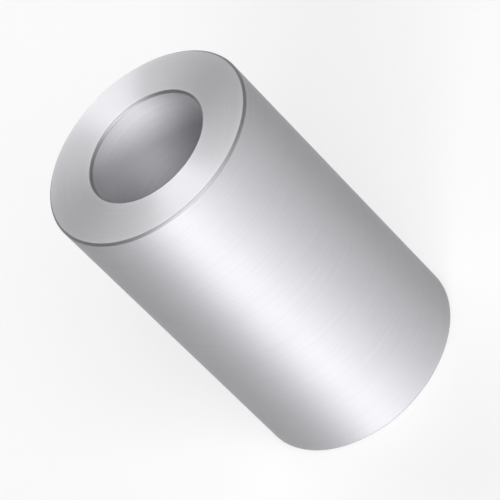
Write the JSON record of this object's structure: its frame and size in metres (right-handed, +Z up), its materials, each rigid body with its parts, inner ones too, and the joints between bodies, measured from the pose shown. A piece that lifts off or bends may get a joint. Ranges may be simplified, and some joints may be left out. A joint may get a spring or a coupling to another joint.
{
  "type": "spacer sleeve",
  "caption": "Plain round spacer sleeve: a short, thick-walled metal tube with flat square ends that holds two parts a set distance apart around a screw.",
  "frame": {"origin": "centre of the lower end face, on the axis of the bore", "axes": "+Z runs up the bore's axis, square to both end faces; the sleeve is round, so +X and +Y are any two directions across it"},
  "size_m": [0.0064, 0.0064, 0.0103],
  "materials": {
    "turned_aluminium": "plain turned, satin, sharp edges broken"
  },
  "bodies": {
    "root": {"sleeve": "turned_aluminium"}
  },
  "joints": []
}
